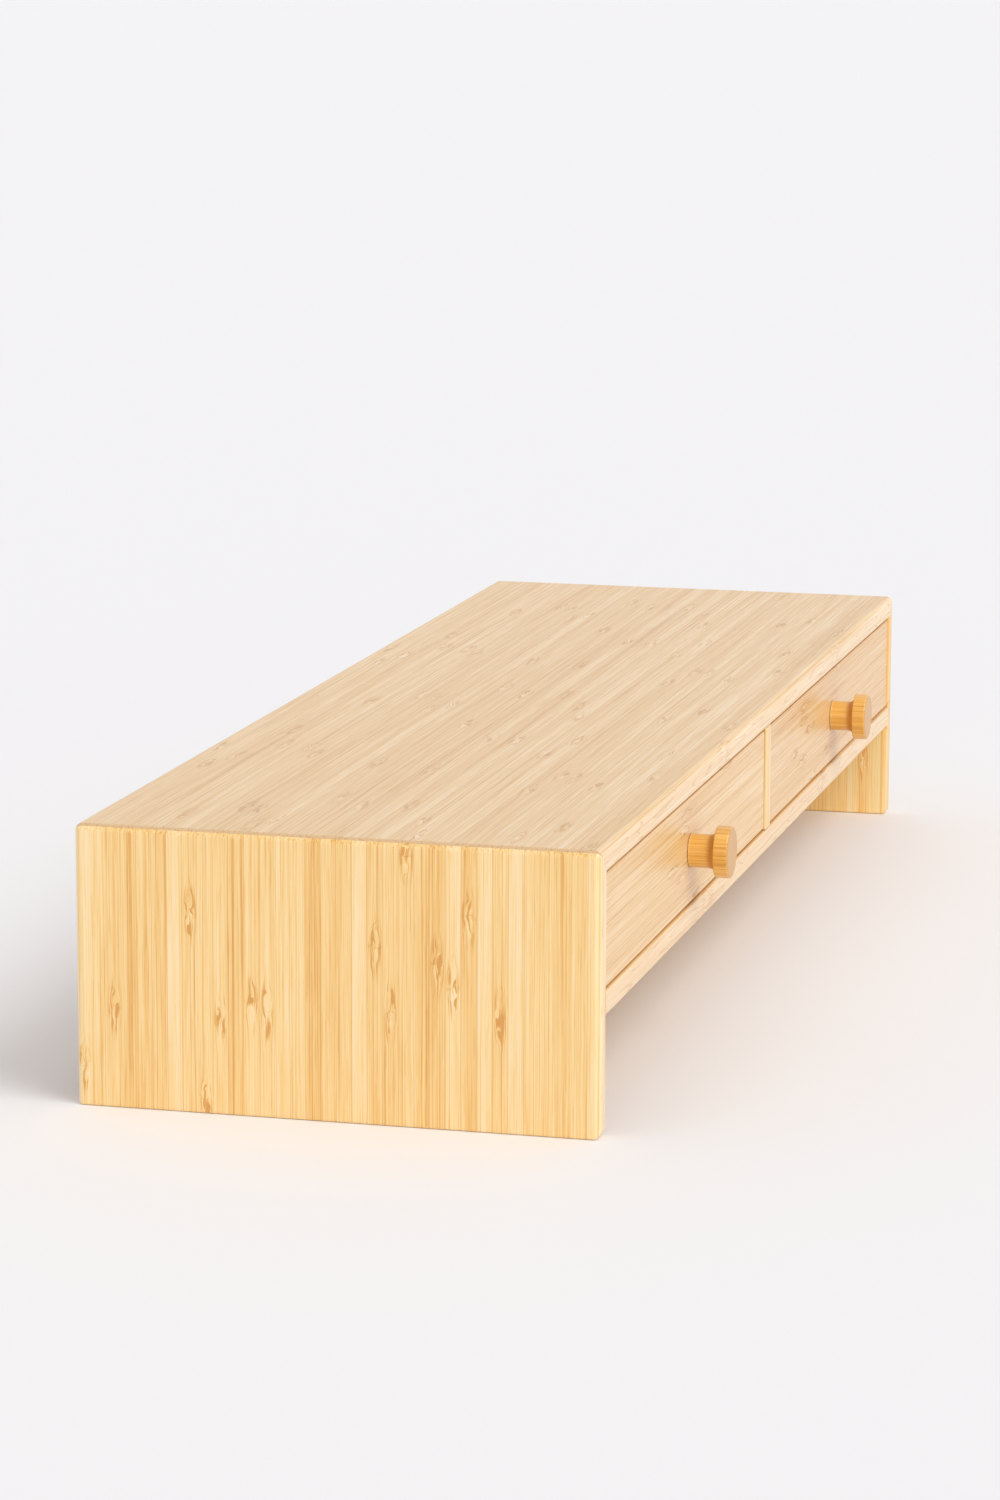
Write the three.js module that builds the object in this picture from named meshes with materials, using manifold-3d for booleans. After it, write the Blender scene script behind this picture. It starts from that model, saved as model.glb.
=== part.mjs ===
// Bamboo monitor stand with two drawers.
//
// A top board and two end panels, mitred together, make the case. A shelf between the panels and a
// divider on it make two bays, closed behind by a grooved back panel. Each bay holds a drawer, a box
// lapped and pinned at its corners, with a grooved bottom and a turned knob screwed on from inside.
//
// Millimetres. X runs along the length, drawers open towards -Y, Z is up and zero on the table.
import * as THREE from "three";
import { RoundedBoxGeometry } from "three/addons/geometries/RoundedBoxGeometry.js";
import { mergeVertices } from "three/addons/utils/BufferGeometryUtils.js";
import Module from "manifold-3d";

// Driving dimensions: the case
const CASE_LENGTH = 630;
const CASE_DEPTH = 200;
const CASE_HEIGHT = 107;
const TOP_THICKNESS = 9;
const SIDE_THICKNESS = 9;
const SHELF_THICKNESS = 9;
const DIVIDER_THICKNESS = 10;
const OPENING_HEIGHT = 44.5; // clear height of a bay, from the shelf to the top board
const ARRIS_RADIUS = 3; // rounding of the outer edges of the case
const EASING_RADIUS = 0.8; // light rounding of every other board edge

const BACK_THICKNESS = 6;
const BACK_INSET = 3; // the back panel's face, in from the rear edges of the boards
const BACK_TONGUE = 3; // the back panel's reach into the boards around it

const SPLINE_WIDTH = 6; // across the mitre, half in each board
const SPLINE_THICKNESS = 2.5;
const SPLINE_OFFSET = 4.2; // along the mitre from the inside corner
const SPLINE_SETBACK = 14; // the spline stops short of both edges, so it never shows

const DOWEL_DIAMETER = 5;
const DOWEL_LENGTH = 20;
const DOWEL_CHAMFER = 0.6;
const DOWEL_IN_PANEL = 5; // depth in the face of a board, the rest is in the other's end grain
const SHELF_DOWEL_SHARES = [0.2, 0.5, 0.8]; // of the case's depth, from the front
const DIVIDER_DOWEL_SHARES = [0.25, 0.75]; // of the divider's depth, from the front

// Driving dimensions: the drawers
const DRAWER_SIDE_GAP = 1; // between a drawer and the wall of its bay
const DRAWER_TOP_GAP = 1.5;
const DRAWER_FRONT_LIFT = 0.8; // the front clears the shelf, on which the sides run
const DRAWER_RUN_GAP = 0.3; // under the sides
const DRAWER_STOP_GAP = 0.3; // between the closed drawer and the back panel
const DRAWER_RECESS = 0.8; // the closed front, behind the case's front edges
const FRONT_THICKNESS = 9;
const FRONT_LAP = 3; // what the front keeps over the end of a drawer side
const WALL_THICKNESS = 6; // drawer sides and back
const WALL_HEIGHT = 36;
const BOTTOM_THICKNESS = 3;
const BOTTOM_RISE = 4; // the bottom panel, up from the lower edge of the walls
const BOTTOM_TONGUE = 2.5; // its reach into the groove of each wall

const PIN_DIAMETER = 3;
const PIN_LENGTH = 18;
const PIN_HEIGHT_SHARES = [0.32, 0.78]; // of the wall height

// Driving dimensions: knob and screw
const KNOB_PROJECTION = 16.4;
const KNOB_HEAD_DIAMETER = 20.5;
const KNOB_HEAD_THICKNESS = 6;
const KNOB_STEM_DIAMETER = 13.2;
const KNOB_BASE_DIAMETER = 13.8; // the stem's slight flare where it meets the front
const KNOB_FLARE_HEIGHT = 1.8;
const KNOB_COVE_RADIUS = 3;
const KNOB_RIM_RADIUS = 0.9; // round of the head's face edge
const KNOB_HEEL_RADIUS = 0.5; // round of the head's back edge
const KNOB_HOLE_DEPTH = 11;

const SCREW_DIAMETER = 3.8;
const SCREW_LENGTH = 18; // under the head
const SCREW_POINT = 3;
const SCREW_HEAD_DIAMETER = 8;
const SCREW_HEAD_HEIGHT = 2.4;
const SCREW_HEAD_RIM = 0.8; // the straight edge of the head, below its dome
const SCREW_CLEARANCE = 0.35; // around the shank, in the hole through the front

// Shared by all joints
const GLUE_LINE = 0.2; // gap at every glued or seated face
const OVERRUN = 20; // how far a cutter passes the face that it cuts
const WELD_DISTANCE = 0.0001; // corners closer than this are one corner

// Smoothness, in steps for each curve
const ARRIS_STEPS = 3;
const EASING_STEPS = 1;
const PIN_SIDES = 12;
const TURNED_SIDES = 36;
const TURNED_ARC_STEPS = 4;

// Places that follow from the sizes above
const HALF_LENGTH = CASE_LENGTH / 2;
const INSIDE_X = HALF_LENGTH - SIDE_THICKNESS;
const TOP_UNDERSIDE = CASE_HEIGHT - TOP_THICKNESS;
const SHELF_TOP = TOP_UNDERSIDE - OPENING_HEIGHT;
const SHELF_UNDERSIDE = SHELF_TOP - SHELF_THICKNESS;
const BACK_REAR_Y = CASE_DEPTH - BACK_INSET;
const BACK_FRONT_Y = BACK_REAR_Y - BACK_THICKNESS;
const BAY_WIDTH = INSIDE_X - DIVIDER_THICKNESS / 2;
const KNOB_REACH = KNOB_PROJECTION + GLUE_LINE - DRAWER_RECESS; // in front of the case

const wasm = await Module();
wasm.setup();

// Finishes: the same lacquered bamboo, in the tones that its boards have
function finish(color, roughness, metalness = 0) {
  return new THREE.MeshStandardMaterial({ color, roughness, metalness });
}
const topBamboo = finish(0xecc892, 0.42);
const panelBamboo = finish(0xf3ca8a, 0.45);
const frontBamboo = finish(0xefc48c, 0.45);
const innerBamboo = finish(0xe9bf86, 0.6);
const turnedBamboo = finish(0xe6a656, 0.4);
const dowelWood = finish(0xd8a868, 0.7);
const zincSteel = finish(0xc3c5c7, 0.35, 1);

// A span is [low, high] along one axis. The same span on the left side is mirrored.
function handed(side, near, far) {
  return side < 0 ? [-far, -near] : [near, far];
}

function widened([low, high], gap) {
  return [low - gap, high + gap];
}

function middle([low, high]) {
  return (low + high) / 2;
}

function sizeOf([low, high]) {
  return high - low;
}

// A block that fills three spans. With a radius, its twelve edges are rounded.
function block(spans, radius = 0, steps = EASING_STEPS) {
  const size = [sizeOf(spans.x), sizeOf(spans.y), sizeOf(spans.z)];
  const geometry =
    radius > 0
      ? new RoundedBoxGeometry(...size, steps, radius)
      : new THREE.BoxGeometry(...size);
  const mesh = new THREE.Mesh(geometry);
  mesh.position.set(middle(spans.x), middle(spans.y), middle(spans.z));
  return mesh;
}

// The groove or pocket for a board: its block, wider by the glue line on every side
function pocket(spans) {
  return block({
    x: widened(spans.x, GLUE_LINE),
    y: widened(spans.y, GLUE_LINE),
    z: widened(spans.z, GLUE_LINE),
  });
}

function named(name, material, mesh) {
  mesh.name = name;
  mesh.material = material;
  return mesh;
}

// A mesh as a solid in the frame of the group that holds it
function solidOf(mesh) {
  mesh.updateMatrix();
  const geometry = mesh.geometry.clone().applyMatrix4(mesh.matrix);
  geometry.deleteAttribute("normal");
  geometry.deleteAttribute("uv");
  const welded = mergeVertices(geometry, WELD_DISTANCE);
  return new wasm.Manifold(
    new wasm.Mesh({
      numProp: 3,
      vertProperties: welded.attributes.position.array,
      triVerts: new Uint32Array(welded.index.array),
    }),
  );
}

// Gives the solid back to the mesh, whose own position and rotation stay
function reshape(mesh, solid) {
  const cut = solid.getMesh();
  const geometry = new THREE.BufferGeometry();
  geometry.setAttribute("position", new THREE.BufferAttribute(cut.vertProperties, 3));
  geometry.setIndex(new THREE.BufferAttribute(cut.triVerts, 1));
  mesh.updateMatrix();
  geometry.applyMatrix4(mesh.matrix.clone().invert());
  mesh.geometry = geometry.toNonIndexed();
  mesh.geometry.computeVertexNormals();
  return mesh;
}

function carve(mesh, cutters) {
  let solid = solidOf(mesh);
  for (const cutter of cutters) {
    solid = solid.subtract(solidOf(cutter));
  }
  return reshape(mesh, solid);
}

// Keeps what lies inside every limit
function trim(mesh, limits) {
  let solid = solidOf(mesh);
  for (const limit of limits) {
    solid = solid.intersect(solidOf(limit));
  }
  return reshape(mesh, solid);
}

// Names a row of like pieces by their number, from 1
function numbered(name, material, meshes) {
  return meshes.map((mesh, index) => named(`${name}_${index + 1}`, material, mesh));
}

// A straight rod about its middle, along one axis, with chamfered ends where a chamfer is given
function rod(axis, middlePoint, diameter, length, chamfer = 0) {
  const radius = diameter / 2;
  const half = length / 2;
  const outline = [new THREE.Vector2(0, -half), new THREE.Vector2(radius - chamfer, -half)];
  if (chamfer > 0) {
    outline.push(new THREE.Vector2(radius, chamfer - half));
    outline.push(new THREE.Vector2(radius, half - chamfer));
  }
  outline.push(new THREE.Vector2(radius - chamfer, half), new THREE.Vector2(0, half));
  const mesh = new THREE.Mesh(new THREE.LatheGeometry(outline, PIN_SIDES));
  mesh.position.copy(middlePoint);
  if (axis === "x") {
    mesh.rotation.z = -Math.PI / 2;
  }
  if (axis === "z") {
    mesh.rotation.x = Math.PI / 2;
  }
  return mesh;
}

function dowel(axis, middlePoint) {
  return rod(axis, middlePoint, DOWEL_DIAMETER, DOWEL_LENGTH, DOWEL_CHAMFER);
}

function dowelHole(axis, middlePoint) {
  return rod(axis, middlePoint, DOWEL_DIAMETER + 2 * GLUE_LINE, DOWEL_LENGTH + 2 * GLUE_LINE);
}

// The mitre of one upper corner, seen along Y: a line from the inside corner to the outside corner
function mitre(side) {
  const inside = new THREE.Vector3(side * INSIDE_X, CASE_DEPTH / 2, TOP_UNDERSIDE);
  const outside = new THREE.Vector3(side * HALF_LENGTH, CASE_DEPTH / 2, CASE_HEIGHT);
  const along = outside.clone().sub(inside);
  const length = along.length();
  along.normalize();
  const towardsTop = new THREE.Vector3(-side * along.z, 0, side * along.x);
  const turn = side * Math.atan2(Math.abs(along.x), along.z);
  return { inside, along, length, towardsTop, turn };
}

// A block across the mitre: its width lies square to the mitre, its thickness along the mitre
function mitreBlock(side, width, depth, thickness, place) {
  const mesh = new THREE.Mesh(new THREE.BoxGeometry(width, depth, thickness));
  mesh.position.copy(place);
  mesh.rotation.y = mitre(side).turn;
  return mesh;
}

// What a saw takes off a board at the mitre, half the glue line past the mitre itself. The sign is 1
// to clear the top's side of the cut, and -1 to clear the panel's side.
function mitreCut(side, sign) {
  const { inside, along, length, towardsTop } = mitre(side);
  const width = 2 * length;
  const place = inside
    .clone()
    .addScaledVector(along, length / 2)
    .addScaledVector(towardsTop, (sign * (width - GLUE_LINE)) / 2);
  return mitreBlock(side, width, CASE_DEPTH + 2 * OVERRUN, length + 2 * OVERRUN, place);
}

function mitreSpline(side, gap = 0) {
  const { inside, along } = mitre(side);
  return mitreBlock(
    side,
    SPLINE_WIDTH + 2 * gap,
    CASE_DEPTH - 2 * SPLINE_SETBACK + 2 * gap,
    SPLINE_THICKNESS + 2 * gap,
    inside.clone().addScaledVector(along, SPLINE_OFFSET),
  );
}

const hands = [
  ["left", -1],
  ["right", 1],
];

// Case: back panel first, because the boards around it are grooved for it
const backSpans = {
  x: widened([-INSIDE_X, INSIDE_X], BACK_TONGUE - GLUE_LINE),
  y: [BACK_FRONT_Y, BACK_REAR_Y],
  z: widened([SHELF_TOP, TOP_UNDERSIDE], BACK_TONGUE - GLUE_LINE),
};

function backPanel() {
  return named("back_panel", innerBamboo, block(backSpans));
}

// Middles of the dowels between shelf and panel, and between divider and the boards above and below
function shelfDowelPlaces(side) {
  const x = side * (INSIDE_X + DOWEL_IN_PANEL - DOWEL_LENGTH / 2);
  const z = SHELF_UNDERSIDE + SHELF_THICKNESS / 2;
  return SHELF_DOWEL_SHARES.map((share) => new THREE.Vector3(x, share * CASE_DEPTH, z));
}

function dividerDowelPlaces(boardFace, boardSide) {
  const z = boardFace + boardSide * (DOWEL_IN_PANEL - DOWEL_LENGTH / 2);
  return DIVIDER_DOWEL_SHARES.map((share) => new THREE.Vector3(0, share * BACK_FRONT_Y, z));
}

const topDowelPlaces = dividerDowelPlaces(TOP_UNDERSIDE, 1);
const bottomDowelPlaces = dividerDowelPlaces(SHELF_TOP, -1);

// The outer skin of the mitred case, as three limits. The arris runs on from the top down the corners
// to the table, the lower corners are as round seen from an end, and the lower edge of an end is only
// eased.
const caseX = [-HALF_LENGTH, HALF_LENGTH];
const caseY = [0, CASE_DEPTH];
const aboveTable = [0, CASE_HEIGHT + OVERRUN];
const caseSkins = [
  block({ x: caseX, y: caseY, z: [-OVERRUN, CASE_HEIGHT] }, ARRIS_RADIUS, ARRIS_STEPS),
  block({ x: widened(caseX, OVERRUN), y: caseY, z: aboveTable }, ARRIS_RADIUS, ARRIS_STEPS),
  block({ x: caseX, y: widened(caseY, OVERRUN), z: aboveTable }, EASING_RADIUS),
];

function topBoard() {
  const spans = {
    x: widened(caseX, OVERRUN),
    y: caseY,
    z: [TOP_UNDERSIDE, CASE_HEIGHT + OVERRUN],
  };
  const board = trim(block(spans, EASING_RADIUS), caseSkins);
  return carve(named("top_board", topBamboo, board), [
    mitreCut(-1, -1),
    mitreCut(1, -1),
    mitreSpline(-1, GLUE_LINE),
    mitreSpline(1, GLUE_LINE),
    pocket(backSpans),
    ...topDowelPlaces.map((place) => dowelHole("z", place)),
  ]);
}

function sidePanel(hand, side) {
  const spans = {
    x: handed(side, INSIDE_X, HALF_LENGTH + OVERRUN),
    y: caseY,
    z: aboveTable,
  };
  const board = trim(block(spans, EASING_RADIUS), caseSkins);
  return carve(named(`${hand}_side_panel`, panelBamboo, board), [
    mitreCut(side, 1),
    mitreSpline(side, GLUE_LINE),
    pocket(backSpans),
    ...shelfDowelPlaces(side).map((place) => dowelHole("x", place)),
  ]);
}

function shelf() {
  const spans = {
    x: widened([-INSIDE_X, INSIDE_X], -GLUE_LINE),
    y: caseY,
    z: [SHELF_UNDERSIDE, SHELF_TOP],
  };
  const board = named("shelf", frontBamboo, block(spans, EASING_RADIUS));
  const endHoles = [...shelfDowelPlaces(-1), ...shelfDowelPlaces(1)];
  return carve(board, [
    pocket(backSpans),
    ...endHoles.map((place) => dowelHole("x", place)),
    ...bottomDowelPlaces.map((place) => dowelHole("z", place)),
  ]);
}

function divider() {
  const spans = {
    x: [-DIVIDER_THICKNESS / 2, DIVIDER_THICKNESS / 2],
    y: [0, BACK_FRONT_Y - GLUE_LINE],
    z: widened([SHELF_TOP, TOP_UNDERSIDE], -GLUE_LINE),
  };
  const board = named("divider", panelBamboo, block(spans, EASING_RADIUS));
  const holes = [...topDowelPlaces, ...bottomDowelPlaces];
  return carve(board, holes.map((place) => dowelHole("z", place)));
}

function makeCase() {
  const group = new THREE.Group();
  group.name = "case";
  group.add(topBoard(), shelf(), divider(), backPanel());
  for (const [hand, side] of hands) {
    const dowels = shelfDowelPlaces(side).map((place) => dowel("x", place));
    group.add(
      sidePanel(hand, side),
      named(`${hand}_mitre_spline`, dowelWood, mitreSpline(side)),
      ...numbered(`${hand}_shelf_dowel`, dowelWood, dowels),
    );
  }
  const dividerDowels = { top: topDowelPlaces, bottom: bottomDowelPlaces };
  for (const [end, places] of Object.entries(dividerDowels)) {
    const dowels = places.map((place) => dowel("z", place));
    group.add(...numbered(`divider_${end}_dowel`, dowelWood, dowels));
  }
  return group;
}

// Drawer, in the frame of its bay: X from the bay's middle, Y from the case's front edges, Z from the
// shelf
const DRAWER_HALF = BAY_WIDTH / 2 - DRAWER_SIDE_GAP;
const FRONT_INNER_Y = DRAWER_RECESS + FRONT_THICKNESS;
const DRAWER_REAR_Y = BACK_FRONT_Y - DRAWER_STOP_GAP;
const WALL_INNER_X = DRAWER_HALF - WALL_THICKNESS;
const WALL_TOP = DRAWER_RUN_GAP + WALL_HEIGHT;
const BOTTOM_UNDERSIDE = DRAWER_RUN_GAP + BOTTOM_RISE;

const frontSpans = {
  x: [-DRAWER_HALF, DRAWER_HALF],
  y: [DRAWER_RECESS, FRONT_INNER_Y],
  z: [DRAWER_FRONT_LIFT, OPENING_HEIGHT - DRAWER_TOP_GAP],
};
const drawerBackSpans = {
  x: widened([-WALL_INNER_X, WALL_INNER_X], -GLUE_LINE),
  y: [DRAWER_REAR_Y - WALL_THICKNESS, DRAWER_REAR_Y],
  z: [DRAWER_RUN_GAP, WALL_TOP],
};
const bottomSpans = {
  x: widened([-WALL_INNER_X, WALL_INNER_X], BOTTOM_TONGUE - GLUE_LINE),
  y: [
    FRONT_INNER_Y - BOTTOM_TONGUE + GLUE_LINE,
    DRAWER_REAR_Y - WALL_THICKNESS + BOTTOM_TONGUE - GLUE_LINE,
  ],
  z: [BOTTOM_UNDERSIDE, BOTTOM_UNDERSIDE + BOTTOM_THICKNESS],
};

function drawerSideSpans(side) {
  return {
    x: handed(side, WALL_INNER_X, DRAWER_HALF),
    y: [DRAWER_RECESS + FRONT_LAP + GLUE_LINE, DRAWER_REAR_Y],
    z: [DRAWER_RUN_GAP, WALL_TOP],
  };
}

// Two pins through each side into the front, and two into the back
function pins(side, extra = 0) {
  const frontJointY = middle([DRAWER_RECESS + FRONT_LAP, FRONT_INNER_Y]);
  const x = side * (DRAWER_HALF - PIN_LENGTH / 2);
  const made = [];
  for (const y of [frontJointY, middle(drawerBackSpans.y)]) {
    for (const share of PIN_HEIGHT_SHARES) {
      const place = new THREE.Vector3(x, y, DRAWER_RUN_GAP + share * WALL_HEIGHT);
      made.push(rod("x", place, PIN_DIAMETER + 2 * extra, PIN_LENGTH + 2 * extra));
    }
  }
  return made;
}

function pinHoles(side) {
  return pins(side, GLUE_LINE);
}

// The knob's half outline, radius against height off the drawer front: blind screw hole, flared
// stem, cove, and a head with softly rounded edges
function knobOutline() {
  const holeRadius = SCREW_DIAMETER / 2 + GLUE_LINE;
  const stemRadius = KNOB_STEM_DIAMETER / 2;
  const headRadius = KNOB_HEAD_DIAMETER / 2;
  const headBack = KNOB_PROJECTION - KNOB_HEAD_THICKNESS;
  const outline = new THREE.Path();
  outline.moveTo(0, KNOB_HOLE_DEPTH);
  outline.lineTo(holeRadius, KNOB_HOLE_DEPTH);
  outline.lineTo(holeRadius, 0);
  outline.lineTo(KNOB_BASE_DIAMETER / 2, 0);
  outline.quadraticCurveTo(stemRadius, 0, stemRadius, KNOB_FLARE_HEIGHT);
  outline.absarc(
    stemRadius + KNOB_COVE_RADIUS,
    headBack - KNOB_COVE_RADIUS,
    KNOB_COVE_RADIUS,
    Math.PI,
    Math.PI / 2,
    true,
  );
  outline.absarc(
    headRadius - KNOB_HEEL_RADIUS,
    headBack + KNOB_HEEL_RADIUS,
    KNOB_HEEL_RADIUS,
    -Math.PI / 2,
    0,
  );
  outline.absarc(
    headRadius - KNOB_RIM_RADIUS,
    KNOB_PROJECTION - KNOB_RIM_RADIUS,
    KNOB_RIM_RADIUS,
    0,
    Math.PI / 2,
  );
  outline.lineTo(0, KNOB_PROJECTION);
  return outline.getPoints(TURNED_ARC_STEPS);
}

// The screw's half outline from its point up, with a domed pan head
function screwOutline() {
  const shankRadius = SCREW_DIAMETER / 2;
  const headRadius = SCREW_HEAD_DIAMETER / 2;
  const headTop = SCREW_LENGTH + SCREW_HEAD_HEIGHT;
  const outline = new THREE.Path();
  outline.moveTo(0, 0);
  outline.lineTo(shankRadius, SCREW_POINT);
  outline.lineTo(shankRadius, SCREW_LENGTH);
  outline.lineTo(headRadius, SCREW_LENGTH);
  outline.lineTo(headRadius, SCREW_LENGTH + SCREW_HEAD_RIM);
  outline.quadraticCurveTo(headRadius, headTop, 0, headTop);
  return outline.getPoints(TURNED_ARC_STEPS);
}

function makeDrawer(hand, side) {
  const group = new THREE.Group();
  group.name = `${hand}_drawer`;
  group.position.set(side * (DIVIDER_THICKNESS + BAY_WIDTH) / 2, 0, SHELF_TOP);
  const add = (name, material, mesh) => group.add(named(`${hand}_drawer_${name}`, material, mesh));

  const allPinHoles = [...pinHoles(-1), ...pinHoles(1)];
  const knobHeight = middle(frontSpans.z);
  const frontMiddle = new THREE.Vector3(0, middle(frontSpans.y), knobHeight);
  const screwHole = rod(
    "y",
    frontMiddle,
    SCREW_DIAMETER + 2 * SCREW_CLEARANCE,
    FRONT_THICKNESS + OVERRUN,
  );
  add(
    "front",
    frontBamboo,
    carve(block(frontSpans, EASING_RADIUS), [
      pocket(drawerSideSpans(-1)),
      pocket(drawerSideSpans(1)),
      pocket(bottomSpans),
      screwHole,
      ...allPinHoles,
    ]),
  );
  for (const [wallHand, wallSide] of hands) {
    const wall = block(drawerSideSpans(wallSide), EASING_RADIUS);
    const holes = [pocket(bottomSpans), ...pinHoles(wallSide)];
    add(`${wallHand}_side`, innerBamboo, carve(wall, holes));
  }
  const back = block(drawerBackSpans, EASING_RADIUS);
  add("back", innerBamboo, carve(back, [pocket(bottomSpans), ...allPinHoles]));
  add("bottom", innerBamboo, block(bottomSpans));
  group.add(...numbered(`${hand}_drawer_pin`, dowelWood, [...pins(-1), ...pins(1)]));

  const knob = new THREE.Mesh(new THREE.LatheGeometry(knobOutline(), TURNED_SIDES));
  knob.position.set(0, DRAWER_RECESS - GLUE_LINE, knobHeight);
  knob.rotation.x = Math.PI;
  add("knob", turnedBamboo, knob);

  const screw = new THREE.Mesh(new THREE.LatheGeometry(screwOutline(), TURNED_SIDES));
  screw.position.set(0, FRONT_INNER_Y + GLUE_LINE - SCREW_LENGTH, knobHeight);
  add("knob_screw", zincSteel, screw);
  return group;
}

// The origin is on the table, under the middle of the whole stand, knobs included
const stand = new THREE.Group();
stand.name = "monitor_stand";
stand.position.y = (KNOB_REACH - CASE_DEPTH) / 2;
stand.add(makeCase());
for (const [hand, side] of hands) {
  stand.add(makeDrawer(hand, side));
}

const part = new THREE.Group();
part.add(stand);

export default part;
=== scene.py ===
# %% [markdown]
# # A bamboo monitor stand with two drawers
# The stand is made of side-pressed bamboo: strips about 6 mm wide, glued face to face, planed into
# boards and given a satin lacquer. This lesson dresses a CAD model of it. The CAD holds every size
# and every joint. Blender adds the fine rounding of the edges, the turned knobs and the wood itself.

# %% Load the CAD model
import math

import bmesh
import bpy
import numpy as np
from mathutils import Matrix, Vector


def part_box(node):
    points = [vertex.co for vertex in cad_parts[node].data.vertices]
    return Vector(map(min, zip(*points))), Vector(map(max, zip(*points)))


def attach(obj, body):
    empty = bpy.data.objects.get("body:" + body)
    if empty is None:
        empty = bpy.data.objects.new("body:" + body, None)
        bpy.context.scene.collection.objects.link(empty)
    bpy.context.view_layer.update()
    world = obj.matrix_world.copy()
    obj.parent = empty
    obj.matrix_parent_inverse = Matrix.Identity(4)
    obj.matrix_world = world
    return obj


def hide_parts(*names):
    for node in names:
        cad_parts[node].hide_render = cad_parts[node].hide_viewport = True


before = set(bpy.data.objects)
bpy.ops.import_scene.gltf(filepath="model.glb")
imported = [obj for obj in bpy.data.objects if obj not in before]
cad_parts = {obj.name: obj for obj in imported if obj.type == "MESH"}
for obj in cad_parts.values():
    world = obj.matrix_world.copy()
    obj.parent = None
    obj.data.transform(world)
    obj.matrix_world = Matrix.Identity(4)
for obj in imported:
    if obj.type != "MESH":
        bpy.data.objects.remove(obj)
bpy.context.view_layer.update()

MM = 0.001

# %% [markdown]
# ## Camera
# The photograph was taken from beyond the left end, a little above the top, with a long lens. The
# place, the angles and the lens were fitted to the edges of the case. The sensor's 36 mm lie along
# the long side of the picture.

# %% Place the camera
CAMERA_PLACE = Vector((-1900.83, -457.13, 448.19)) * MM
CAMERA_AZIMUTH = math.radians(-75.7518)
CAMERA_ELEVATION = math.radians(10.5866)
CAMERA_ROLL = math.radians(0.1616)
CAMERA_LENS = 111.31
CAMERA_SENSOR = 36


def place_camera():
    """Its axes are right, up and back, where back points from the stand to the camera."""
    level = math.cos(CAMERA_ELEVATION)
    back = Vector(
        (
            math.sin(CAMERA_AZIMUTH) * level,
            -math.cos(CAMERA_AZIMUTH) * level,
            math.sin(CAMERA_ELEVATION),
        )
    )
    right = (-back).cross(Vector((0, 0, 1))).normalized()
    up = back.cross(right)
    rolled_right = math.cos(CAMERA_ROLL) * right + math.sin(CAMERA_ROLL) * up
    rolled_up = math.cos(CAMERA_ROLL) * up - math.sin(CAMERA_ROLL) * right
    data = bpy.data.cameras.new("camera")
    data.lens = CAMERA_LENS
    data.sensor_width = CAMERA_SENSOR
    camera = bpy.data.objects.new("camera", data)
    camera.matrix_world = Matrix.Translation(CAMERA_PLACE) @ Matrix(
        (rolled_right, rolled_up, back)
    ).transposed().to_4x4()
    bpy.context.scene.collection.objects.link(camera)
    bpy.context.scene.camera = camera
    return camera


camera = place_camera()
print("camera at", tuple(round(value, 3) for value in camera.location))

# %% [markdown]
# ## Helpers
# Colours are written as the hex values that a paint program shows. A shader works with linear light,
# so one function turns them. Another one adds a node with its settings and its links, because a
# procedural wood is a long chain of small nodes.

# %% Colour and node helpers
MATH = "ShaderNodeMath"
RANGE = "ShaderNodeMapRange"
MIX = "ShaderNodeMix"


def linear(code):
    """The linear red, green, blue and alpha of a hex colour such as f7d08c, by the sRGB formula."""
    value = np.array([int(code[i : i + 2], 16) for i in (0, 2, 4)]) / 255
    light = np.where(value <= 0.04045, value / 12.92, ((value + 0.055) / 1.055) ** 2.4)
    return (*light.tolist(), 1.0)


def add(tree, kind, inputs=None, **settings):
    """Adds a node. An input is named or numbered, and gets a value, a socket, or a node's output.

    A Mix node has a socket A for each kind of data, of which only one is enabled, so a name or an
    output means the first enabled one.
    """
    node = tree.nodes.new(kind)
    for key, value in settings.items():
        setattr(node, key, value)
    for key, value in (inputs or {}).items():
        if isinstance(key, str):
            socket = next(one for one in node.inputs if one.name == key and one.enabled)
        else:
            socket = node.inputs[key]
        if isinstance(value, bpy.types.Node):
            value = next(one for one in value.outputs if one.enabled)
        if isinstance(value, bpy.types.NodeSocket):
            tree.links.new(value, socket)
        else:
            socket.default_value = value
    return node


def new_material(name):
    """An empty material, its node tree and its output node."""
    material = bpy.data.materials.new(name)
    material.use_nodes = True
    tree = material.node_tree
    tree.nodes.clear()
    return material, tree, add(tree, "ShaderNodeOutputMaterial")


# %% [markdown]
# ## Floor and light
# A pale floor and a soft sky light the stand from all sides, as a bright room does. A wide lamp high
# in front gives the faces their different tones and drops the knobs' shadows straight down, as in the
# photograph. A fainter, low one fills the near end and reaches the far panel under the shelf. Both
# are suns with a large disc, because a sun lights the whole floor evenly. Together they light a
# surface so that its colour renders about as it is written.

# %% Build the stage
FLOOR_COLOUR = "f8f5f4"
# Matt paint scatters the light evenly and has only a faint sheen
FLOOR_ROUGHNESS = 0.75
FLOOR_SHEEN = 0.25
# Half the floor's width, and how far it lies under the stand, in metres
FLOOR_HALF = 20.0
FLOOR_DROP = 0.05 * MM
SKY_COLOUR = "f2f4f8"
# The sky's strength as a light, and as the camera sees it
SKY_LIGHT = 0.72
SKY_SEEN = 0.97
# Each lamp's name, where it stands, the width of its disc in degrees and its strength
LAMPS = [
    ("key", Vector((-0.6, -1.5, 1.7)), 38, 1.3),
    ("fill", Vector((-2.0, -0.5, 0.3)), 30, 0.6),
]


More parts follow.
